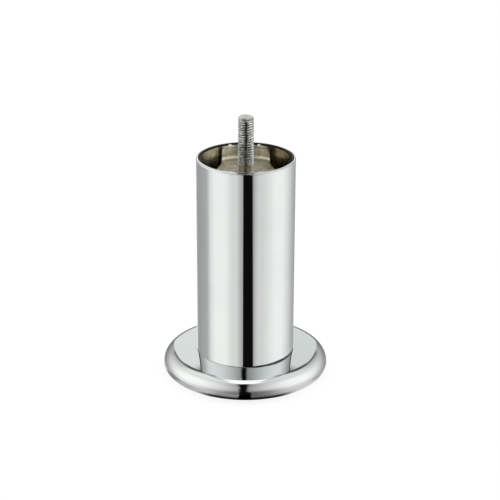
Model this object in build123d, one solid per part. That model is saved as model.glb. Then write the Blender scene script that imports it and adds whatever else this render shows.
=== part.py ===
import os
from math import cos, radians, sin, sqrt, tan

from build123d import *

os.makedirs("parts", exist_ok=True)

# Sizes in millimetres and degrees. The floor is z = 0 and the leg's axis is Z.
rim_height = 116.0
tube_diameter = 50.0
tube_wall = 2.0
rim_outer_round = 0.6
rim_inner_bevel = 0.62
foot_bevel = 0.15

base_diameter = 85.0
base_sheet = 1.5
seat_height = 11.8
seat_margin = 0.3
base_slope = 4.5
shoulder_lead_radius = 10.4
shoulder_lead_end = 69.8
shoulder_radius = 6.4
lip_radius = 3.5
lip_width = 3.4
collar_height = 8.0
collar_clearance = 0.1
collar_bend = 0.6

strap_thickness = 2.5
strap_end_width = 24.2
strap_waist_width = 29.6
strap_end_straight = 2.55
strap_drop = 0.8
strap_leg_height = 8.9
strap_bend = 2.0
strap_corner_round = 1.7
bolt_hole_clearance = 0.25

thread_diameter = 8.0
neck_diameter = 7.1
neck_above_strap = 3.4
stud_reach = 21.5
tip_chamfer = 1.0
head_width = 13.0
head_height = 5.3
head_chamfer = 0.6

pad_floor = 2.0
pad_lip_clearance = 0.3
pad_snap_width = 0.9
pad_snap_height = 1.6
pad_edge_round = 0.6
pad_ring_wall = 1.5
pad_ring_inset = 0.2
pad_rib_count = 8
pad_rib_wall = 2.0
pad_rib_clearance = 0.5

# Levels and radii that the pieces share.
tube_radius = tube_diameter / 2
bore_radius = tube_radius - tube_wall
base_radius = base_diameter / 2
seat_radius = tube_radius + seat_margin
collar_radius = bore_radius - collar_clearance
slope = radians(base_slope)
shoulder_center = base_radius - shoulder_radius
lip_center = base_radius - lip_radius
lead_end = radians(shoulder_lead_end)
lead_center = shoulder_center - (shoulder_lead_radius - shoulder_radius) * cos(lead_end)
slope_end = lead_center + shoulder_lead_radius * sin(slope)
lead_height = seat_height - (slope_end - seat_radius) * tan(slope) - shoulder_lead_radius * cos(slope)
belly_height = lead_height + (shoulder_lead_radius - shoulder_radius) * sin(lead_end)
lip_height = belly_height - lip_radius
lip_edge = lip_center - lip_width
lip_top = lip_height + base_sheet
leg_top = rim_height - strap_drop
web_bottom = leg_top - strap_leg_height
web_top = web_bottom + strap_thickness


def turned(profile):
    return revolve(Plane.XZ * profile, Axis.Z)


def arc_point(center_r, center_z, radius, angle):
    return (center_r + radius * cos(radians(angle)), center_z + radius * sin(radians(angle)))


# Tube: straight wall, cut square, with its edges softened. The lower bore edge clears the collar's bend.
tube_profile = Polyline(
    (bore_radius, seat_height + collar_bend + collar_clearance),
    (bore_radius + collar_bend + collar_clearance, seat_height),
    (tube_radius - foot_bevel, seat_height),
    (tube_radius, seat_height + foot_bevel),
    (tube_radius, rim_height),
    (bore_radius, rim_height),
    close=True,
)
leg_tube = turned(make_face(tube_profile))
rim_edges = leg_tube.edges().group_by(Axis.Z)[-1].sort_by(SortBy.LENGTH)
leg_tube = fillet(rim_edges[-1], rim_outer_round)
inner_rim = leg_tube.edges().group_by(Axis.Z)[-1].sort_by(SortBy.LENGTH)
leg_tube = chamfer(inner_rim[0], rim_inner_bevel)

# Base: one pressed sheet. A collar stands in the tube, the tube's end sits on a flat seat round it,
# and from there the sheet slopes out, over a shoulder that tightens as it falls, and under into a flat lip.
slope_normal = 90 - base_slope
lead_mid = (slope_normal + shoulder_lead_end) / 2
shoulder_mid = shoulder_lead_end / 2
outer_slope_end = arc_point(lead_center, lead_height, shoulder_lead_radius, slope_normal)
outer_lead_mid = arc_point(lead_center, lead_height, shoulder_lead_radius, lead_mid)
outer_lead_end = arc_point(shoulder_center, belly_height, shoulder_radius, shoulder_lead_end)
outer_shoulder_mid = arc_point(shoulder_center, belly_height, shoulder_radius, shoulder_mid)
outer_lip_mid = arc_point(lip_center, belly_height, lip_radius, -45)
inner_lead = shoulder_lead_radius - base_sheet
inner_shoulder = shoulder_radius - base_sheet
inner_lip = lip_radius - base_sheet
inner_slope_end = arc_point(lead_center, lead_height, inner_lead, slope_normal)
inner_lead_mid = arc_point(lead_center, lead_height, inner_lead, lead_mid)
inner_lead_end = arc_point(shoulder_center, belly_height, inner_shoulder, shoulder_lead_end)
inner_shoulder_mid = arc_point(shoulder_center, belly_height, inner_shoulder, shoulder_mid)
inner_lip_mid = arc_point(lip_center, belly_height, inner_lip, -45)
inner_radius = base_radius - base_sheet
under_seat = seat_height - base_sheet
under_seat_radius = inner_slope_end[0] - (under_seat - inner_slope_end[1]) / tan(slope)
collar_top = seat_height + collar_height
collar_inside = collar_radius - base_sheet
under_bend = collar_bend + base_sheet
bend_center_r = collar_radius + collar_bend
bend_center_z = seat_height + collar_bend
outer_bend_mid = arc_point(bend_center_r, bend_center_z, collar_bend, 225)
inner_bend_mid = arc_point(bend_center_r, bend_center_z, under_bend, 225)
base_profile = [
    Line((collar_radius, collar_top), (collar_radius, bend_center_z)),
    ThreePointArc((collar_radius, bend_center_z), outer_bend_mid, (bend_center_r, seat_height)),
    Line((bend_center_r, seat_height), (seat_radius, seat_height)),
    Line((seat_radius, seat_height), outer_slope_end),
    ThreePointArc(outer_slope_end, outer_lead_mid, outer_lead_end),
    ThreePointArc(outer_lead_end, outer_shoulder_mid, (base_radius, belly_height)),
    ThreePointArc((base_radius, belly_height), outer_lip_mid, (lip_center, lip_height)),
    Line((lip_center, lip_height), (lip_edge, lip_height)),
    Line((lip_edge, lip_height), (lip_edge, lip_top)),
    Line((lip_edge, lip_top), (lip_center, lip_top)),
    ThreePointArc((lip_center, lip_top), inner_lip_mid, (inner_radius, belly_height)),
    ThreePointArc((inner_radius, belly_height), inner_shoulder_mid, inner_lead_end),
    ThreePointArc(inner_lead_end, inner_lead_mid, inner_slope_end),
    Line(inner_slope_end, (under_seat_radius, under_seat)),
    Line((under_seat_radius, under_seat), (bend_center_r, under_seat)),
    ThreePointArc((bend_center_r, under_seat), inner_bend_mid, (collar_inside, bend_center_z)),
    Line((collar_inside, bend_center_z), (collar_inside, collar_top)),
    Line((collar_inside, collar_top), (collar_radius, collar_top)),
]
base_flange = turned(make_face(base_profile))

# Strap: a strip pressed to a cup section, so its turned-up ends lie against the bore.
# It swells to its full width at the bolt, and the corners of its ends are round.
strap_inside = bore_radius - strap_thickness
strap_bend_outside = strap_bend + strap_thickness
cup_bend_mid = arc_point(strap_inside - strap_bend, web_top + strap_bend, strap_bend, -45)
cup_outer_mid = arc_point(bore_radius - strap_bend_outside, web_top + strap_bend, strap_bend_outside, -45)
cup_profile = [
    Line((0, web_bottom), (bore_radius - strap_bend_outside, web_bottom)),
    ThreePointArc(
        (bore_radius - strap_bend_outside, web_bottom), cup_outer_mid, (bore_radius, web_top + strap_bend)
    ),
    Line((bore_radius, web_top + strap_bend), (bore_radius, leg_top)),
    Line((bore_radius, leg_top), (strap_inside, leg_top)),
    Line((strap_inside, leg_top), (strap_inside, web_top + strap_bend)),
    ThreePointArc(
        (strap_inside, web_top + strap_bend), cup_bend_mid, (strap_inside - strap_bend, web_top)
    ),
    Line((strap_inside - strap_bend, web_top), (0, web_top)),
    Line((0, web_top), (0, web_bottom)),
]
strap_cup = turned(make_face(cup_profile))
end_x = strap_end_width / 2
waist_x = strap_waist_width / 2
fold_y = sqrt(strap_inside**2 - end_x**2)
swell_y = fold_y - strap_end_straight
along = (0, 1)
back = (0, -1)
strip_outline = [
    Line((end_x, -tube_radius), (end_x, -swell_y)),
    Spline((end_x, -swell_y), (waist_x, 0), (end_x, swell_y), tangents=(along, along)),
    Line((end_x, swell_y), (end_x, tube_radius)),
    Line((end_x, tube_radius), (-end_x, tube_radius)),
    Line((-end_x, tube_radius), (-end_x, swell_y)),
    Spline((-end_x, swell_y), (-waist_x, 0), (-end_x, -swell_y), tangents=(back, back)),
    Line((-end_x, -swell_y), (-end_x, -tube_radius)),
    Line((-end_x, -tube_radius), (end_x, -tube_radius)),
]
strip = extrude(Pos(0, 0, web_bottom) * make_face(strip_outline), strap_leg_height)
bolt_hole_radius = thread_diameter / 2 + bolt_hole_clearance
hole_depth = 2 * strap_thickness
bolt_hole = Pos(0, 0, web_bottom + strap_thickness / 2) * Cylinder(bolt_hole_radius, hole_depth)
mounting_strap = strap_cup & strip
mounting_strap = mounting_strap - bolt_hole
end_corners = mounting_strap.edges().filter_by_position(Axis.Z, leg_top, leg_top)
end_corners = end_corners.sort_by(SortBy.LENGTH)[:4]
mounting_strap = fillet(end_corners, strap_corner_round)

# Bolt: hexagon head held under the strap, a plain neck through it, then the M8 thread to a bevelled tip.
thread_radius = thread_diameter / 2
neck_radius = neck_diameter / 2
neck_top = web_top + neck_above_strap
stud_top = rim_height + stud_reach
thread_runout = thread_radius - neck_radius
shank_profile = Polyline(
    (0, web_bottom - head_height / 2),
    (neck_radius, web_bottom - head_height / 2),
    (neck_radius, neck_top),
    (thread_radius, neck_top + thread_runout),
    (thread_radius, stud_top - tip_chamfer),
    (thread_radius - tip_chamfer, stud_top),
    (0, stud_top),
    close=True,
)
head_bottom = web_bottom - head_height
hexagon = RegularPolygon(head_width / 2, 6, major_radius=False, rotation=30)
head = extrude(Pos(0, 0, head_bottom) * hexagon, head_height)
head_corner = head_width / 2 / cos(radians(30))
crown_rise = head_height - head_chamfer
crown = Pos(0, 0, head_bottom) * Cone(
    head_corner - 2 * head_chamfer,
    head_corner,
    head_chamfer,
    align=(Align.CENTER, Align.CENTER, Align.MIN),
)
crown_body = Pos(0, 0, head_bottom + head_chamfer) * Cylinder(
    head_corner, crown_rise, align=(Align.CENTER, Align.CENTER, Align.MIN)
)
head = head & (crown + crown_body)
mounting_bolt = head + turned(make_face(shank_profile))

# Pad: moulded disc that snaps over the lip. A ring carries the seat from below and ribs brace it.
pad_radius = lip_edge - pad_lip_clearance
snap_radius = pad_radius + pad_lip_clearance + pad_snap_width
snap_top = lip_top + pad_snap_height
ring_outer = under_seat_radius - pad_ring_inset
ring_inner = ring_outer - pad_ring_wall
pad_profile = Polyline(
    (0, 0),
    (pad_radius, 0),
    (pad_radius, lip_top),
    (snap_radius, lip_top),
    (snap_radius, lip_top + pad_snap_height / 2),
    (pad_radius, snap_top),
    (pad_radius - pad_rib_wall, snap_top),
    (pad_radius - pad_rib_wall, pad_floor),
    (ring_outer, pad_floor),
    (ring_outer, under_seat),
    (ring_inner, under_seat),
    (ring_inner, pad_floor),
    (0, pad_floor),
    close=True,
)
floor_pad = turned(make_face(pad_profile))
floor_edge = floor_pad.edges().group_by(Axis.Z)[0].sort_by(SortBy.LENGTH)[-1]
floor_pad = fillet(floor_edge, pad_edge_round)
rib_start = ring_outer - pad_ring_wall / 2
rib_end = pad_radius - pad_rib_wall / 2
rib_top = under_seat - (rib_end - under_seat_radius) * tan(slope) - pad_rib_clearance
rib = Polyline(
    (rib_start, pad_floor / 2),
    (rib_end, pad_floor / 2),
    (rib_end, snap_top),
    (ring_outer, rib_top),
    (rib_start, rib_top),
    close=True,
)
rib = extrude(Plane.XZ * make_face(rib), pad_rib_wall / 2, both=True)
floor_pad = floor_pad + PolarLocations(0, pad_rib_count) * rib

export_step(leg_tube, "parts/leg_tube.step")
export_step(base_flange, "parts/base_flange.step")
export_step(mounting_strap, "parts/mounting_strap.step")
export_step(mounting_bolt, "parts/mounting_bolt.step")
export_step(floor_pad, "parts/floor_pad.step")
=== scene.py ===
import math

import bmesh
import bpy
from mathutils import Matrix, Vector


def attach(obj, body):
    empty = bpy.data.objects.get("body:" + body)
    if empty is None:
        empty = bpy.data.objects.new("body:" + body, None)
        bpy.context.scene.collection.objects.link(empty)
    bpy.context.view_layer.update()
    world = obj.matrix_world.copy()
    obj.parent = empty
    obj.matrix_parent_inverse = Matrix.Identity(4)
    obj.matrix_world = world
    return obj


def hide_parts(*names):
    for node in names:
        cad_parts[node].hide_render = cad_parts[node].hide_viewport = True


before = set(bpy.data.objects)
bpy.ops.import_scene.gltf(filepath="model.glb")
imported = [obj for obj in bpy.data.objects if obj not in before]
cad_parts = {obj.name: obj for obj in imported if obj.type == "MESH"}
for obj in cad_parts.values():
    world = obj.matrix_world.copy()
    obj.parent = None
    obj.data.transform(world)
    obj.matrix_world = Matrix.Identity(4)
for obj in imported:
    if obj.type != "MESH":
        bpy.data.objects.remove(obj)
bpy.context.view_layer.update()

mm = 0.001
scene = bpy.context.scene
scene.view_settings.view_transform = "Standard"


class Wire:  # a node socket that takes part in plain sums
    def __init__(self, tree, socket=None):
        self.tree = tree
        self.socket = socket

    def node(self, kind, settings=None, sockets=None, out=0):
        made = self.tree.nodes.new(kind)
        for key, value in (settings or {}).items():
            if key == "stops":
                ramp = made.color_ramp.elements
                while len(ramp) < len(value):
                    ramp.new(0.5)
                for stop, (place, tone) in zip(ramp, value):
                    stop.position = place
                    stop.color = (tone, tone, tone, 1)
            elif key == "ease":
                made.color_ramp.interpolation = value
            else:
                setattr(made, key, value)
        for key, value in (sockets or {}).items():
            if isinstance(value, Wire):
                self.tree.links.new(value.socket, made.inputs[key])
            else:
                made.inputs[key].default_value = value
        return Wire(self.tree, made.outputs[out] if len(made.outputs) else None)

    def also(self, out):  # another output of the same node
        return Wire(self.tree, self.socket.node.outputs[out])

    def sum(self, operation, *terms):
        return self.node("ShaderNodeMath", {"operation": operation}, dict(enumerate(terms)))

    def __add__(self, other):
        return self.sum("ADD", self, other)

    def __radd__(self, other):
        return self.sum("ADD", other, self)

    def __sub__(self, other):
        return self.sum("SUBTRACT", self, other)

    def __rsub__(self, other):
        return self.sum("SUBTRACT", other, self)

    def __mul__(self, other):
        return self.sum("MULTIPLY", self, other)

    def __rmul__(self, other):
        return self.sum("MULTIPLY", other, self)

    def __truediv__(self, other):
        return self.sum("DIVIDE", self, other)

    def __rtruediv__(self, other):
        return self.sum("DIVIDE", other, self)

    def __neg__(self):
        return self.sum("MULTIPLY", self, -1.0)

    def __abs__(self):
        return self.sum("ABSOLUTE", self)

    def __pow__(self, other):
        return self.sum("POWER", self, other)

    def most(self, other):
        return self.sum("MAXIMUM", self, other)

    def step(self, low, high):  # smooth rise from 0 at low to 1 at high
        return self.node(
            "ShaderNodeMapRange",
            {"interpolation_type": "SMOOTHSTEP"},
            {"Value": self, "From Min": low, "From Max": high, "To Min": 0.0, "To Max": 1.0},
        )

    def fade(self, low, high):  # smooth fall from 1 at low to 0 at high
        return 1 - self.step(low, high)

    def towards(self, other, share):  # part of the way to another value
        return self + (other - self) * share

    def blend(self, first, second):  # this value picks between two colours
        return self.node("ShaderNodeMix", {"data_type": "RGBA"}, {0: self, 6: first, 7: second}, out=2)

    def lights(self, colour):  # a colour made brighter or darker by this value
        return self.node("ShaderNodeVectorMath", {"operation": "SCALE"}, {0: colour, "Scale": self})

    def grain(self, scale, detail=2.0, rough=0.5):
        sockets = {"Vector": self, "Scale": scale, "Detail": detail, "Roughness": rough}
        return self.node("ShaderNodeTexNoise", None, sockets)

    def bump(self, strength, depth=0.2):
        sockets = {"Strength": strength, "Distance": depth * mm, "Height": self}
        return self.node("ShaderNodeBump", None, sockets)

    def stretched(self, x, y, z):
        return self.node("ShaderNodeVectorMath", {"operation": "MULTIPLY"}, {0: self, 1: (x, y, z)})

    def axes(self):
        parts = self.node("ShaderNodeSeparateXYZ", None, {0: self})
        return parts, parts.also(1), parts.also(2)


def turnFrom(x, y):  # degrees round the leg, 0 towards the camera
    return x.sum("ARCTAN2", x, -y) * math.degrees(1)


def newFinish(name):
    material = bpy.data.materials.new(name)
    material.use_nodes = True
    tree = material.node_tree
    tree.nodes.clear()
    shader = tree.nodes.new("ShaderNodeBsdfPrincipled")
    output = tree.nodes.new("ShaderNodeOutputMaterial")
    tree.links.new(shader.outputs[0], output.inputs[0])
    return material, shader, Wire(tree).node("ShaderNodeTexCoord", out="Object")


def plug(shader, **sockets):
    for key, value in sockets.items():
        socket = shader.inputs[key.replace("_", " ")]
        if isinstance(value, Wire):
            shader.id_data.links.new(value.socket, socket)
        else:
            socket.default_value = value


def millimetres(place):
    return place.stretched(1 / mm, 1 / mm, 1 / mm).axes()


def fromAxis(x, y):  # distance from the leg's axis
    return (x * x + y * y) ** 0.5


def arc(centre, radius, start, end, count):
    turns = [math.radians(start + (end - start) * k / count) for k in range(count + 1)]
    return [(centre[0] + radius * math.cos(t), centre[1] + radius * math.sin(t)) for t in turns]


def evenRing(radius, count, start=0):  # corners of a regular outline
    turns = [math.radians(start + 360 * k / count) for k in range(count)]
    return [(radius * math.cos(t), radius * math.sin(t)) for t in turns]


def propped(points, inset=0.06):  # extra points beside the ends of long straight runs keep the shading true
    out = []
    for here, there in zip(points, points[1:] + points[:1]):
        out.append(here)
        length = math.dist(here, there)
        if length > 6 * inset:
            for share in (inset / length, 1 - inset / length):
                out.append(tuple(a + (b - a) * share for a, b in zip(here, there)))
    return out


def lathe(profile, steps):  # a closed profile of radius and height, turned round the axis
    shape = bmesh.new()
    loops = []
    for k in range(steps):
        turn = 2 * math.pi * k / steps
        loops.append(
            [shape.verts.new((r * mm * math.cos(turn), r * mm * math.sin(turn), z * mm)) for r, z in profile]
        )
    for k in range(steps):
        here, there = loops[k], loops[(k + 1) % steps]
        for i in range(len(profile)):
            j = (i + 1) % len(profile)
            shape.faces.new((here[i], there[i], there[j], here[j]))
    bmesh.ops.remove_doubles(shape, verts=shape.verts, dist=1e-8)
    bmesh.ops.recalc_face_normals(shape, faces=shape.faces)
    return shape


def prism(outline, low, high, lay=lambda a, b, h: (a, b, h)):  # an outline pushed from low to high
    shape = bmesh.new()
    ends = [[shape.verts.new(Vector(lay(a, b, h)) * mm) for a, b in outline] for h in (low, high)]
    shape.faces.new(ends[0])
    shape.faces.new(ends[1])
    for i in range(len(outline)):
        j = (i + 1) % len(outline)
        shape.faces.new((ends[0][i], ends[0][j], ends[1][j], ends[1][i]))
    bmesh.ops.recalc_face_normals(shape, faces=shape.faces)
    return shape


def smooth(mesh, sharp):
    mesh.polygons.foreach_set("use_smooth", [True] * len(mesh.polygons))
    mesh.set_sharp_from_angle(angle=math.radians(sharp))


def makePiece(name, shape, sharp=32):
    mesh = bpy.data.meshes.new(name)
    shape.to_mesh(mesh)
    shape.free()
    smooth(mesh, sharp)
    piece = bpy.data.objects.new(name, mesh)
    scene.collection.objects.link(piece)
    return piece


def settle(piece, sharp=32, weld=5e-7):  # bakes the modifiers into the mesh and clears slivers
    bpy.context.view_layer.update()
    mesh = bpy.data.meshes.new_from_object(piece.evaluated_get(bpy.context.evaluated_depsgraph_get()))
    shape = bmesh.new()
    shape.from_mesh(mesh)
    bmesh.ops.remove_doubles(shape, verts=shape.verts, dist=weld)
    bmesh.ops.dissolve_degenerate(shape, edges=shape.edges, dist=weld)
    bmesh.ops.triangulate(shape, faces=[f for f in shape.faces if len(f.verts) > 4])
    shape.to_mesh(mesh)
    shape.free()
    old = piece.data
    piece.modifiers.clear()
    piece.data = mesh
    bpy.data.meshes.remove(old)
    smooth(mesh, sharp)


def carve(piece, tool, operation):
    cut = piece.modifiers.new("carve", "BOOLEAN")
    cut.operation = operation
    cut.solver = "EXACT"
    cut.object = tool
    settle(piece)
    bpy.data.objects.remove(tool)


def seat(piece, material, slot, *nodes):
    piece.data.materials.clear()
    piece.data.materials.append(material)
    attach(piece, "root")
    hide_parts(*nodes)


def hideFromView(piece):  # seen only as mirrored in the chrome
    piece.visible_camera = False
    piece.visible_diffuse = False
    piece.visible_shadow = False


chrome = {
    "colour": (0.72, 0.722, 0.722, 1),
    "cloud": (0.69, 0.693, 0.694, 1),
    "edge": (1.0, 1.0, 1.0),  # paler lip round the mouth: a painted highlight
    "jointShade": (0.03, 0.03, 0.03, 1),
    "polish": 0.035,
    "haze": 0.05,
    "lines": 0.03,
    "ripple": 0.144,
    "bump": 0.35,
}
bore = {
    "colour": (0.98, 0.915, 0.785, 1),
    "stain": (0.66, 0.57, 0.44, 1),
    "brown": (0.50, 0.38, 0.245, 1),  # browner colour on the right side of the bore
    "burr": (0.018, 0.014, 0.010, 1),  # dark colour of the raw cut edge round the mouth, also used for painted shade in the bore
    "rough": 0.22,
    "edge": (23.22, 23.30),  # radius where the cut edge ends at the front
    "wider": (0.34, 0.7, 0.2),  # how much more of it shows at the sides, at the back and at the far sides
    "strapShadow": 13.0,  # painted shadow beside the strap's back end: how far from the middle it lies
    "strapShadowWidth": (0.6, 1.4),
    "lowLeftShade": (104.6, 108.6),  # height where the painted shade low on the left begins and ends
}
tube = {
    "rim": 116.0,
    "seat": 11.8,
    "radius": 25.0,
    "bore": 23.0,
    "outerRound": 0.6,
    "burr": 0.25,
    "footBevel": 0.15,
    "boreBevel": 0.7,
    "steps": 320,
}


def chromeParts(place):
    cloud = place.grain(38.0, 4.0, 0.6)
    drawn = place.stretched(1.0, 1.0, 0.02).grain(2600.0, 2.0, 0.6)  # faint polishing lines along the tube
    swirl = place.grain(420.0, 3.0, 0.65)
    colour = cloud.step(0.35, 0.75).blend(chrome["colour"], chrome["cloud"])
    rough = chrome["polish"] + chrome["haze"] * cloud.step(0.45, 0.85)
    rough = rough + chrome["lines"] * drawn.step(0.55, 0.8)
    ripple = (cloud * 0.6 + swirl * 0.25 + drawn * 0.05) * chrome["ripple"]
    return colour, rough, ripple


def tubeFinish():
    material, shader, place = newFinish("tubeChrome")
    x, y, z = millimetres(place)
    radius = fromAxis(x, y)
    rim, foot = tube["rim"], tube["seat"]
    # the dark band round the mouth is narrow at the front, wider at the sides and widest at the back: part
    # cut edge, part painted shade
    sides, back, farSides = bore["wider"]
    reach = radius - sides * y.step(-11, -3) - back * y.step(-12, 20)
    reach = reach - farSides * (abs(x).step(20, 23.5) + x.step(20, 23.5))
    outside = reach.step(*bore["edge"])
    colour, rough, ripple = chromeParts(place)
    # painted shade in the joint where the tube stands on the base, most of it on one side
    creviceShade = (z + 0.3 * place.grain(300.0) - 0.3 * x.step(4, 20)).fade(foot + 0.55, foot + 0.9)
    creviceShade = creviceShade * (0.05 + 0.92 * x.step(-1, 6))
    colour = creviceShade.blend(colour, chrome["jointShade"])
    land = z.step(rim - 0.3, rim - 0.1)  # the flat of the rim, inside its rounded corner
    front = (-y).step(19.5, 24.5) * land
    # the lip is painted paler as a highlight, with painted shade towards the front and the right
    paintedLipLight = 0.93 - 0.21 * (-y).step(2, 10) - 0.10 * front - 0.10 * x.step(6, 16)
    # painted reflection of the dark slit: a dark spot in the middle of the front flat
    paintedLipLight = paintedLipLight * (1 - 0.8 * front * abs(x).fade(3.0, 5.5))
    lip = z.step(rim - 0.65, rim - 0.4)
    colour = lip.blend(colour, paintedLipLight.lights(chrome["edge"]))
    rough = rough + 0.22 * lip * (1 - land)
    # the bore: warm stained plate, darker towards the bottom and browner on the right, with painted shadow
    # beside the strap and painted shade low on the left
    patch = place.grain(210.0, 5.0, 0.65)
    speck = place.grain(1900.0, 2.0, 0.6)
    stain = (patch * 0.6 + speck * 0.25 + z.fade(75, rim) * 0.5).step(0.45, 1.05)
    inner = stain.blend(bore["colour"], bore["stain"])
    inner = (x.step(2, 14) * (0.35 + 0.9 * patch)).blend(inner, bore["brown"])
    # painted shadow on the bore wall beside the strap's back end, stronger on the left
    strapShadow = abs(abs(x) - bore["strapShadow"]).fade(*bore["strapShadowWidth"]) * z.step(100, 103) * y.step(0, 5)
    inner = (strapShadow * (0.85 - 0.6 * x.step(-10, 10))).blend(inner, bore["burr"])
    # painted shade low on the left of the bore
    inner = (0.6 * z.fade(*bore["lowLeftShade"]) * x.fade(-4, 4)).blend(inner, bore["burr"])
    # the cut edge, and painted shade on the bore wall just under it
    cut = radius.step(tube["bore"] + 0.01, tube["bore"] + 0.1).most(z.step(rim - 0.9, rim - 0.7))
    inner = cut.blend(inner, bore["burr"])
    innerRough = bore["rough"] + 0.14 * patch.step(0.3, 0.8) + 0.2 * cut
    plug(
        shader,
        Base_Color=outside.blend(inner, colour),
        Roughness=innerRough * (1 - outside) + rough * outside,
        Normal=(outside * ripple + (1 - outside) * speck * 0.3).bump(chrome["bump"]),
        Metallic=1.0,
    )
    return material


def makeTube():
    t = tube
    profile = [(t["bore"], t["seat"] + t["boreBevel"]), (t["bore"] + t["boreBevel"], t["seat"])]
    profile += [(t["radius"] - t["footBevel"], t["seat"]), (t["radius"], t["seat"] + t["footBevel"])]
    outer = t["outerRound"]
    profile += arc((t["radius"] - outer, t["rim"] - outer), outer, 0, 90, 12)
    profile += [(t["bore"] + t["burr"], t["rim"]), (t["bore"], t["rim"] - t["burr"])]
    piece = makePiece("legTube", lathe(propped(profile), t["steps"]), 38)
    seat(piece, tubeFinish(), "chrome_tube", "leg_tube")
    print("tube", len(piece.data.polygons))


base = {
    "radius": 42.5,
    "sheet": 1.5,
    "seat": 11.8,
    "seatRadius": 25.3,
    "slope": 4.5,
    "knuckle": 10.4,  # gentle start of the shoulder, and the angle where it tightens
    "tightens": 69.8,
    "shoulder": 6.4,
    "lip": 3.5,
    "lipWidth": 3.4,
    "collarRadius": 22.9,
    "collarHeight": 8.0,
    "collarBend": 0.6,
    "steps": 360,
}


def baseFinish():
    material, shader, place = newFinish("baseChrome")
    colour, rough, ripple = chromeParts(place)
    plug(shader, Base_Color=colour, Roughness=rough, Normal=ripple.bump(chrome["bump"]), Metallic=1.0)
    return material


def makeBase():
    b = base
    slope = math.radians(b["slope"])
    tight = math.radians(b["tightens"])
    shoulder = b["radius"] - b["shoulder"]
    lip = b["radius"] - b["lip"]
    start = shoulder + b["shoulder"] * math.cos(tight) - b["knuckle"] * (math.cos(tight) - math.sin(slope))
    drop = b["seat"] - (start - b["seatRadius"]) * math.tan(slope)
    knuckle = (start - b["knuckle"] * math.sin(slope), drop - b["knuckle"] * math.cos(slope))
    belly = knuckle[1] + (b["knuckle"] - b["shoulder"]) * math.sin(tight)
    sheet = b["sheet"]
    collar = b["collarRadius"]
    bend = (collar + b["collarBend"], b["seat"] + b["collarBend"])
    foot = belly - b["lip"]
    edge = lip - b["lipWidth"]
    under = b["seat"] - sheet
    # outer side of the sheet from the collar down to the lip, then back along its inner side
    profile = arc(bend, b["collarBend"], 180, 270, 8)
    profile += [(b["seatRadius"], b["seat"])]
    profile += arc(knuckle, b["knuckle"], 90 - b["slope"], b["tightens"], 20)
    profile += arc((shoulder, belly), b["shoulder"], b["tightens"], 0, 36)[1:]
    profile += arc((lip, belly), b["lip"], 0, -90, 36)[1:]
    profile += [(edge, foot), (edge, foot + sheet)]
    profile += arc((lip, belly), b["lip"] - sheet, -90, 0, 18)
    profile += arc((shoulder, belly), b["shoulder"] - sheet, 0, b["tightens"], 20)[1:]
    profile += arc(knuckle, b["knuckle"] - sheet, b["tightens"], 90 - b["slope"], 8)[1:]
    profile += [(b["seatRadius"] - sheet * math.tan(slope / 2), under)]
    profile += arc(bend, b["collarBend"] + sheet, 270, 180, 12)
    top = b["seat"] + b["collarHeight"]
    profile += [(collar - sheet, top), (collar, top)]
    piece = makePiece("baseFlange", lathe(propped(profile), b["steps"]), 30)
    piece.visible_glossy = False  # the tube mirrors the pale ground right down to its foot
    seat(piece, baseFinish(), "chrome_base", "base_flange")
    print("base", len(piece.data.polygons))


strap = {
    "thick": 2.5,
    "endWidth": 24.2,
    "waist": 29.6,
    "swell": 8.0,
    "swellStep": 0.75,
    "top": 115.2,
    "height": 8.9,
    "bend": 2.0,
    "corner": 1.7,
    "bore": 23.0,
    "hole": 4.25,
    "edge": 0.22,
    "tackSide": 7.4,  # weld tacks on the ends: place to each side, shift at the back, distance from the axis
    "tackShift": 0.7,
    "tackReach": 22.2,
    "tackSize": (1.0, 0.44),  # half width and half height
    "tackLift": 0.25,
    "colour": (0.62, 0.585, 0.48, 1),
    "pale": (0.76, 0.73, 0.63, 1),
    "stain": (0.42, 0.375, 0.28, 1),
    "weld": (0.95, 0.94, 0.90, 1),
    "cornerBrown": (0.12, 0.085, 0.055, 1),
    "rough": 0.36,
    "bump": 0.5,
    "steps": 240,
}


def strapFinish():
    s = strap
    material, shader, place = newFinish("dullPlating")
    patch = place.grain(330.0, 5.0, 0.7)
    speck = place.grain(2400.0, 2.0, 0.6)
    rolled = place.stretched(1.0, 0.05, 1.0).grain(1500.0, 3.0, 0.6)  # rolling lines along the strip
    tone = (patch * 0.7 + speck * 0.3).step(0.35, 0.62).blend(s["stain"], s["colour"])
    tone = (rolled * 0.5 + patch * 0.5).step(0.55, 0.75).blend(tone, s["pale"])
    x, y, z = millimetres(place)
    web = s["top"] - s["height"] + s["thick"]
    leg = z.step(web + 0.4, web + 2.4)  # the turned-up ends
    foldHighlight = z.step(web + 0.3, web + 0.7) * z.fade(web + 1.1, web + 1.8)
    topShade = z.step(s["top"] - 1.4, s["top"] - 0.4)
    studShade = abs(x).fade(4.6, 7.8) * leg  # painted shade beside the stud, in the middle of the ends
    # painted light and shade: the ends paler than the web and darker along their tops, a painted highlight
    # along the bend, and all of it darker on the right
    shade = 0.89 + 0.59 * leg - (0.145 + 0.095 * leg) * x.step(-4, 12) + 0.4 * foldHighlight
    shade = shade * (1 - topShade * (0.22 + 0.26 * x.step(-4, 4)))
    shade = shade * (1 - studShade * (0.3 - 0.15 * x.step(-1, 1)))
    tone = shade.lights(tone)
    weld = abs(abs(x) - s["tackSide"]).fade(1.4, 1.8) * z.step(s["top"] - 0.3, s["top"] + 0.1)
    # the tack on the right is painted darker, as shade
    tone = (weld * (0.9 - 0.3 * x.step(-2, 2))).blend(tone, s["weld"])
    # darker brown at the top right corner of the back end
    cornerBrown = (x - 9.8 - (s["top"] - z) * 0.5).step(0, 1.2) * leg * y.step(0, 10)
    tone = (0.85 * cornerBrown).blend(tone, s["cornerBrown"])
    plug(
        shader,
        Base_Color=tone,
        Roughness=s["rough"] + 0.18 * patch.step(0.3, 0.75) + 0.14 * leg * (1 - weld),
        Normal=(rolled * 0.5 + speck * 0.4 + patch * 0.3).bump(s["bump"]),
        Metallic=1.0,
    )
    return material


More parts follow.
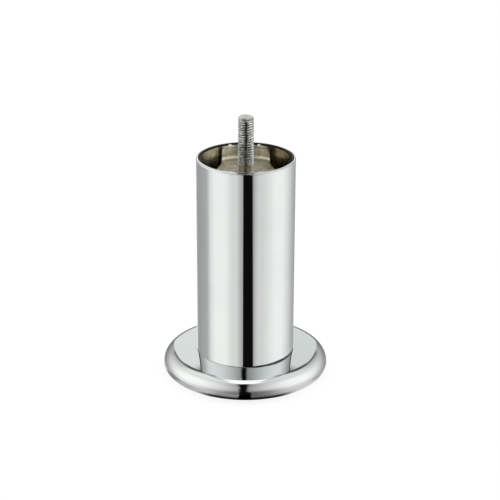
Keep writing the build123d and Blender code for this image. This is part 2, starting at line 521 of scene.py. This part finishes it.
def makeStrap():
    s = strap
    inside = s["bore"] - s["thick"]
    low = s["top"] - s["height"]
    web = low + s["thick"]
    past = 2  # how far the cutting shapes run past the strip
    turn = (inside - s["bend"], web + s["bend"])
    profile = [(0, low)] + arc(turn, s["bend"] + s["thick"], -90, 0, 16)
    profile += [(s["bore"], s["top"]), (inside, s["top"])]
    profile += arc(turn, s["bend"], 0, -90, 12) + [(0, web)]
    piece = makePiece("mountingStrap", lathe(profile, s["steps"]))
    # the strip's plan: parallel ends and a swelled middle
    half, waist = s["endWidth"] / 2, s["waist"] / 2
    spots = [k * s["swellStep"] for k in range(-24, 25)]
    side = [(half + (waist - half) * math.exp(-((y / s["swell"]) ** 2)), y) for y in spots]
    length = 30
    outline = [(half, -length)] + side + [(half, length), (-half, length)]
    outline += [(-x, -y) for x, y in side] + [(-half, -length)]
    carve(piece, makePiece("strip", prism(outline, low - past, s["top"] + past)), "INTERSECT")
    # the ends' rounded corners
    corner = s["corner"]
    bulge = half + 0.03
    root = web + s["bend"] - 0.4
    shoulders = [(waist + past, low - past), (waist + past, root), (bulge, root)]
    shoulders += arc((bulge - corner, s["top"] - corner), corner, 0, 90, 14)
    shoulders += [(-x, z) for x, z in reversed(shoulders)]
    carve(piece, makePiece("ends", prism(shoulders, -40, 40, lambda a, b, h: (a, h, b))), "INTERSECT")
    hole = prism(evenRing(s["hole"], 72), low - past, web + past)
    carve(piece, makePiece("hole", hole), "DIFFERENCE")
    # weld tacks on the tops of the ends
    side, shift, reach = s["tackSide"], s["tackShift"], s["tackReach"]
    wide, tall = s["tackSize"]
    drop = [(max(r * wide, 0), z * tall) for r, z in arc((0, 0), 1, -90, 90, 10)]
    for x, end in ((side - shift, 1), (-side - shift, 1), (side, -1), (-side, -1)):
        tack = makePiece("tack", lathe(drop, 20))
        tack.location = Vector((x, end * math.sqrt(reach * reach - x * x), s["top"] + s["tackLift"])) * mm
        carve(piece, tack, "UNION")
    soft = piece.modifiers.new("edges", "BEVEL")
    soft.width = s["edge"] * mm
    soft.segments = 2
    soft.limit_method = "ANGLE"
    soft.angle_limit = math.radians(50)
    settle(piece, 40)
    seat(piece, strapFinish(), "plated_strap", "mounting_strap")
    print("strap", len(piece.data.polygons))


bolt = {
    "radius": 4.0,
    "root": 3.233,
    "rootRound": 0.08,
    "pitch": 1.25,
    "neck": 3.55,
    "neckTop": 112.2,
    "shoulder": (4.0, 108.7, 108.75),  # full width in the strap's hole, then in to the neck
    "threadLow": 112.65,
    "tip": 137.5,
    "tipBevel": 1.0,
    "headTop": 106.3,
    "headHeight": 5.3,
    "headWidth": 13.0,
    "headBevel": (1.2, 0.7),  # inwards and upwards
    "steps": 72,
    "roundSteps": 96,
    "colour": (0.96, 0.98, 0.97, 1),
    "dull": (0.52, 0.525, 0.50, 1),
    "end": (0.70, 0.705, 0.69, 1),
    "neckBrown": (0.47, 0.43, 0.34, 1),
    "greaseAndReflection": (0.09, 0.085, 0.075, 1),
    "flecks": 0.68,
    "rough": 0.06,
    "bump": (0.4, 0.1),
}


def boltFinish():
    b = bolt
    tip, neckTop = b["tip"], b["neckTop"]
    material, shader, place = newFinish("zincPlating")
    x, y, z = millimetres(place)
    crest = fromAxis(x, y).step(b["root"], b["radius"])
    end = z.step(tip - 0.3, tip - 0.1)
    neck = z.fade(neckTop - 0.2, neckTop + 1.2)
    patch = place.grain(520.0, 4.0, 0.65)
    speck = place.grain(3000.0, 2.0, 0.6)
    rightSheen = x.step(0.8, 2.4) * z.fade(121, 125)  # painted sheen on one side, low down
    # crests worn bright, with the painted sheen added
    worn = (crest * 0.8 + patch * 0.4 + rightSheen * 0.4).step(0.45, 0.95)
    colour = worn.blend(b["dull"], b["colour"])
    fleck = place.grain(820.0, 2.0, 0.6).step(0.49, 0.58) * (1 - neck) * (1 - end) * (1 - 0.6 * rightSheen)
    colour = (b["flecks"] * fleck).blend(colour, b["greaseAndReflection"])
    flank = neck * x.step(2.5, 3.1)  # painted highlight along one side of the neck
    # the neck is browner and darker
    colour = (neck * (0.6 + 0.4 * patch)).blend(colour, b["neckBrown"])
    colour = flank.blend(colour, b["colour"])
    # a dark line down the front below the tip: painted reflection of the dark slit over a little real dirt
    greaseAndReflection = abs(x + 0.1).fade(0.2, 1.3) * (-y).step(1, 3) * z.fade(tip - 2.3, tip - 1.3)
    colour = (greaseAndReflection * (0.2 + 0.6 * patch.step(0.4, 0.6))).blend(colour, b["greaseAndReflection"])
    colour = (end * (0.75 + 0.25 * abs(x).step(0.4, 2.2))).blend(colour, b["end"])
    chamfer = z.step(tip - 1.3, tip - 0.8)
    rough = b["rough"] + 0.12 * (1 - worn) + 0.08 * patch + 0.2 * z.fade(117, 124)
    plug(
        shader,
        Base_Color=colour,
        Roughness=rough + 0.25 * flank + 0.25 * chamfer,
        Normal=(speck * 0.5 + patch * 0.5).bump(*b["bump"]),
        Metallic=1.0,
    )
    return material


def threadRod(low, high):  # a rod with the thread's tooth wound round it
    b = bolt
    crest = b["pitch"] / 6
    root = b["pitch"] / 4
    flank = (b["pitch"] - crest - root) / 2
    foot = b["root"] + b["rootRound"]
    tooth = [(0, b["radius"]), (crest, b["radius"]), (crest + flank, foot)]
    tooth += [(tooth[-1][0] + root / 2, b["root"]), (tooth[-1][0] + root, foot)]
    turns = int((high - low) / b["pitch"]) + 1
    rows = [(k * b["pitch"] + rise, radius) for k in range(turns + 1) for rise, radius in tooth]
    per = len(tooth)
    shape = bmesh.new()
    grid = []
    for i in range(b["steps"]):
        turn = 2 * math.pi * i / b["steps"]
        climb = b["pitch"] * i / b["steps"]
        column = []
        for rise, radius in rows:
            spot = (radius * math.cos(turn), radius * math.sin(turn), low + rise + climb)
            column.append(shape.verts.new(Vector(spot) * mm))
        grid.append(column)
    last = len(rows) - per
    for i in range(b["steps"]):
        here = grid[i]
        there = grid[i + 1] if i + 1 < b["steps"] else grid[0][per:]
        for j in range(last - 1):
            shape.faces.new((here[j], there[j], there[j + 1], here[j + 1]))
    loose = [v for v in shape.verts if not v.link_faces]
    bmesh.ops.delete(shape, geom=loose, context="VERTS")
    rim = [e for e in shape.edges if e.is_boundary]
    bmesh.ops.holes_fill(shape, edges=rim, sides=0)
    bmesh.ops.triangulate(shape, faces=[f for f in shape.faces if len(f.verts) > 4])
    bmesh.ops.recalc_face_normals(shape, faces=shape.faces)
    return shape


def makeBolt():
    b = bolt
    neckTop, tip, bevel, around = b["neckTop"], b["tip"], b["tipBevel"], b["roundSteps"]
    piece = makePiece("mountingBolt", threadRod(neckTop - 2.5, tip + 2.5))
    # the thread runs out above the neck and ends in a bevelled tip
    cover = b["radius"] + 0.004
    limit = [(0, neckTop - 0.3), (b["root"] + 0.1, neckTop - 0.3), (cover, b["threadLow"])]
    limit += [(cover, tip - bevel), (cover - bevel, tip), (0, tip)]
    carve(piece, makePiece("limit", lathe(limit, around)), "INTERSECT")
    low = b["headTop"] - b["headHeight"]
    wide, shoulderLow, shoulderTop = b["shoulder"]
    neck = [(0, low + 1), (wide, low + 1), (wide, shoulderLow), (b["neck"], shoulderTop)]
    neck += [(b["neck"], neckTop), (0, neckTop)]
    carve(piece, makePiece("neck", lathe(neck, around)), "UNION")
    # the head under the strap
    corner = b["headWidth"] / math.sqrt(3)
    head = makePiece("head", prism(evenRing(corner, 6, 30), low, b["headTop"]))
    inwards, upwards = b["headBevel"]
    past = corner + 0.02
    crown = [(0, low), (corner - inwards, low), (past, low + upwards)]
    crown += [(past, b["headTop"] + 1), (0, b["headTop"] + 1)]
    carve(head, makePiece("crown", lathe(crown, around)), "INTERSECT")
    carve(piece, head, "UNION")
    settle(piece, 28)
    seat(piece, boltFinish(), "plated_bolt", "mounting_bolt")
    print("bolt", len(piece.data.polygons))


pad = {"colour": (0.018, 0.018, 0.019, 1), "worn": (0.05, 0.05, 0.05, 1), "rough": 0.5, "bump": 0.5}


def dressPad():
    material, shader, place = newFinish("padPlastic")
    grainy = place.grain(2200.0, 3.0, 0.6)
    patch = place.grain(140.0, 4.0, 0.6)
    plug(
        shader,
        Base_Color=patch.step(0.5, 0.8).blend(pad["colour"], pad["worn"]),
        Roughness=pad["rough"] + 0.2 * grainy,
        Normal=grainy.bump(pad["bump"]),
    )
    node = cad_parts["floor_pad"]
    node.data.materials.clear()
    node.data.materials.append(material)
    node.visible_glossy = False  # the foot hides it from the tube
    print("pad", len(node.data.polygons))


studio = {
    "bright": 1.19,  # all of the room
    "walls": (0.82, 1.11),  # side walls at the horizon, and higher up
    "dim": (0.16, 0.32),  # the same straight ahead and behind
    "back": (0.82, 0.755),  # panel behind the leg, to the left and to the right
    "panelHalf": (15.5, 11.5),  # its half width in degrees, low and high
    "panelTop": 32.5,
    "frame": 0.05,  # the dark gap round it
    "slit": 0.004,
    "tint": (0.985, 1.0, 0.983, 1),
    "coolTint": (0.975, 0.99, 1.0, 1),  # the ground to the sides and behind
    "backTint": (0.95, 1.0, 0.995, 1),
    "lamp": 1.40,
    "lampLean": 8.5,  # degrees behind upright
    "lampSize": (6.5, 12.5),
    "ground": [  # how light the ground is, by degrees round the leg
        (-180, 0.85), (-166, 0.70), (-156, 0.38), (-112, 0.44), (-101, 0.51), (-92, 0.78), (-76, 0.99),
        (-50, 0.985), (-40, 0.90), (-31, 0.785), (-21, 0.755), (-10, 0.48), (16, 0.42), (24, 0.59),
        (33, 0.75), (39, 0.745), (76, 1.01), (96, 1.0), (133, 0.58), (152, 0.42), (172, 0.38), (180, 0.70),
    ],
}


def makeRoom():
    world = bpy.data.worlds.new("whiteRoom")
    scene.world = world
    world.use_nodes = True
    tree = world.node_tree
    tree.nodes.clear()
    look = Wire(tree).node("ShaderNodeTexCoord", out="Generated")
    x, y, z = look.axes()
    turn = turnFrom(x, y)
    rise = z.sum("ARCSINE", z) * math.degrees(1)
    side = abs(x) / (x * x + y * y + 1e-6) ** 0.5
    # white walls to the left and right, dimmer ahead and behind
    lift = rise.step(0, 28)
    dim = studio["dim"][0] + (studio["dim"][1] - studio["dim"][0]) * lift
    walls = studio["walls"][0] + (studio["walls"][1] - studio["walls"][0]) * rise.step(-10, 13)
    tone = dim + (walls - dim) * side ** (2.0 - 0.85 * lift)
    tone = tone * (1 - 0.32 * turn.step(0, 9) * turn.fade(24, 56) * rise.fade(6, 26))
    tone = tone * (1 - 0.42 * rise.step(38, 84)) * (1 - 0.08 * abs(turn).step(95, 130))
    tone = tone.towards(0.88 - 0.06 * x.step(-0.1, 0.1), abs(turn).step(100, 140) * rise.step(36, 48))
    # a white panel behind the leg, and the dark gap round it
    aside = 180 - abs(turn)
    width = studio["panelHalf"][0] + (studio["panelHalf"][1] - studio["panelHalf"][0]) * rise.step(20, 29)
    beyond = ((aside - width) * 1.5).most(rise - studio["panelTop"])
    panel = beyond.fade(-1, 1) * rise.step(4, 9)
    gap = (beyond - 1.5 * x.step(-0.05, 0.05)).fade(5, 14) * aside.step(2, 5)
    gap = gap * rise.step(22, 27) * (0.6 + 0.4 * rise.step(28, 41))
    back = studio["back"][0] + (studio["back"][1] - studio["back"][0]) * turn.step(-28.65, 28.65)
    tone = tone.towards(studio["frame"], gap).towards(back, panel)
    # light that comes by way of the base and then the tube is weaker from behind
    twice = look.node("ShaderNodeLightPath", out="Glossy Depth").step(1.4, 1.6) * rise.step(18, 24)
    tone = tone * (1 - twice * (0.35 * aside.fade(40, 85) + 0.5 * aside.fade(24, 36)))
    line = rise.step(35, 39) * rise.fade(44, 50) * aside.step(40, 70) * aside.fade(86, 100)
    tone = tone * (1 - 0.5 * twice * line)
    # pale ground far from the leg
    stops = [((angle + 180) / 360, level) for angle, level in studio["ground"]]
    ground = look.node("ShaderNodeValToRGB", {"stops": stops, "ease": "CARDINAL"}, {0: turn / 360 + 0.5})
    tone = tone * (1 - 0.25 * (-turn).step(102, 116) * rise.fade(-13, -5))
    down = rise.fade(-19.4, -15)
    tone = tone.towards(ground, down)
    # lamp overhead, a little behind
    lean = math.radians(studio["lampLean"])
    lamp = Vector((0, math.sin(lean), math.cos(lean)))
    near = look.node("ShaderNodeVectorMath", {"operation": "DOT_PRODUCT"}, {0: look, 1: lamp}, out="Value")
    full, edge = [math.cos(math.radians(angle)) for angle in studio["lampSize"]]
    tone = tone.towards(studio["lamp"], near.step(edge, full))
    # the dark slit in the front wall, where the camera looks in
    spread = rise.fade(3, 17)
    high = rise.step(35, 43)
    offset = (1 - spread) * (0.046 - 0.016 * high)
    slit = abs(x + offset).fade(0.042 + 0.086 * spread, 0.150 + 0.002 * spread - 0.035 * high)
    slit = slit * (-y).step(0.06, 0.2)
    low = turn.step(-6.8, -5.0) * (turn + rise * 0.4).fade(6.2, 10.8)
    tone = tone.towards(studio["slit"], slit * (1 - down) + low * down)
    tint = (down * abs(turn).step(80, 115)).blend(studio["tint"], studio["coolTint"])
    tint = panel.most(twice).blend(tint, studio["backTint"])
    sockets = {"Color": tone.lights(tint), "Strength": studio["bright"]}
    look.node("ShaderNodeOutputWorld", None, {0: look.node("ShaderNodeBackground", None, sockets)})
    print("room lit")


floor = {"size": 3.0, "drop": 0.3, "tones": ((0.15, 0.15, 0.15, 1), (0.17, 0.17, 0.17, 1)), "glow": 0.88}
nearGround = {"radius": 62.0, "drop": 0.1, "fades": (56.0, 61.5), "reach": (0.020, 0.025)}


def makeFloor():
    shape = bmesh.new()
    bmesh.ops.create_grid(shape, x_segments=1, y_segments=1, size=floor["size"])
    piece = makePiece("floor", shape)
    piece.location.z = -floor["drop"] * mm
    material, shader, place = newFinish("paleFloor")
    plug(
        shader,
        Base_Color=place.grain(6.0).blend(*floor["tones"]),
        Roughness=0.9,
        Specular_IOR_Level=0.0,
        Emission_Color=(1, 1, 1, 1),
        Emission_Strength=floor["glow"],
    )
    piece.data.materials.append(material)
    piece.visible_glossy = False
    print("floor laid")


def makeNearGround():  # shaded ground close to the foot
    n = nearGround
    shape = bmesh.new()
    bmesh.ops.create_circle(shape, cap_ends=True, segments=128, radius=n["radius"] * mm)
    piece = makePiece("nearGround", shape)
    piece.location.z = -n["drop"] * mm
    material, shader, place = newFinish("groundShade")
    x, y = millimetres(place)[:2]
    radius = fromAxis(x, y)
    turn = turnFrom(x, y)
    left = 0.28 + 0.30 * (-turn).step(20, 33) - 0.09 * (-turn).step(36, 48)
    left = left - 0.22 * (-turn).step(58, 68) * (-turn).fade(76, 88)
    right = 0.14 + 0.56 * turn.step(11, 47) - 0.24 * turn.step(58, 70) - 0.13 * turn.step(80, 95)
    tone = left.towards(right, turn.step(-5, 5)).towards(0.5, abs(turn).step(100, 165))
    tone = tone * (1 - 0.94 * radius.fade(43.2, 47.0) * abs(turn).fade(25, 42))  # darkest under the lip
    tone = tone * abs(turn + 0.3).step(4.2, 5.8)
    length = place.node("ShaderNodeLightPath", out="Ray Length")
    plug(
        shader,
        Base_Color=(0, 0, 0, 1),
        Specular_IOR_Level=0.0,
        Emission_Color=tone.lights((1, 1, 1)),
        Emission_Strength=studio["bright"],
        Alpha=radius.fade(*n["fades"]) * length.fade(*n["reach"]),
    )
    piece.data.materials.append(material)
    hideFromView(piece)
    print("ground shaded")


card = {
    "height": 17.5,
    "inner": (33.0, 33.8),  # its edges' distance from the axis, in the middle and at the ends
    "outer": (38.9, 34.0),
    "reach": 22.0,
    "taper": 1.5,
    "glow": 1.4,
    "steps": 24,
}


def makeCard():  # a small lit card over the front of the foot, its bright side down
    c = card
    shape = bmesh.new()
    rows = []
    for k in range(-c["steps"], c["steps"] + 1):
        turn = math.radians(c["reach"] * k / c["steps"])
        taper = abs(k / c["steps"]) ** c["taper"]
        spots = [near + (far - near) * taper for near, far in (c["inner"], c["outer"])]
        rows.append([shape.verts.new((r * mm * math.sin(turn), -r * mm * math.cos(turn), 0)) for r in spots])
    for here, there in zip(rows, rows[1:]):
        shape.faces.new((here[0], there[0], there[1], here[1]))
    piece = makePiece("footCard", shape)
    piece.location.z = c["height"] * mm
    material, shader, place = newFinish("cardGlow")
    plug(
        shader,
        Base_Color=(0, 0, 0, 1),
        Specular_IOR_Level=0.0,
        Emission_Color=(1, 1, 1, 1),
        Emission_Strength=c["glow"],
        Alpha=1 - place.node("ShaderNodeNewGeometry", out="Backfacing"),
    )
    piece.data.materials.append(material)
    hideFromView(piece)
    print("card hung")


view = {
    "focal": 1592.63,  # in pixels of the frame
    "frame": 500,
    "distance": 753.04,
    "height": 373.03,
    "pitch": 0.38697,
    "yaw": 0.00301,
    "roll": 0.00419,
    "sensor": 36.0,
}


def makeCamera():
    v = view
    flat = math.cos(v["pitch"])
    ahead = Vector((math.sin(v["yaw"]) * flat, math.cos(v["yaw"]) * flat, -math.sin(v["pitch"])))
    right = ahead.cross(Vector((0, 0, 1))).normalized()
    up = right.cross(ahead)
    level = right * math.cos(v["roll"]) + up * math.sin(v["roll"])
    up = up * math.cos(v["roll"]) - right * math.sin(v["roll"])
    lens = bpy.data.cameras.new("camera")
    lens.sensor_width = v["sensor"]
    lens.lens = v["focal"] * v["sensor"] / v["frame"]
    lens.clip_start = 0.01
    camera = bpy.data.objects.new("camera", lens)
    turned = Matrix((level, up, -ahead)).transposed().to_4x4()
    camera.matrix_world = Matrix.Translation(Vector((0, -v["distance"], v["height"])) * mm) @ turned
    scene.collection.objects.link(camera)
    scene.camera = camera
    print("camera set")


makeCamera()
makeTube()
makeBase()
makeStrap()
makeBolt()
dressPad()
makeRoom()
makeFloor()
makeNearGround()
makeCard()
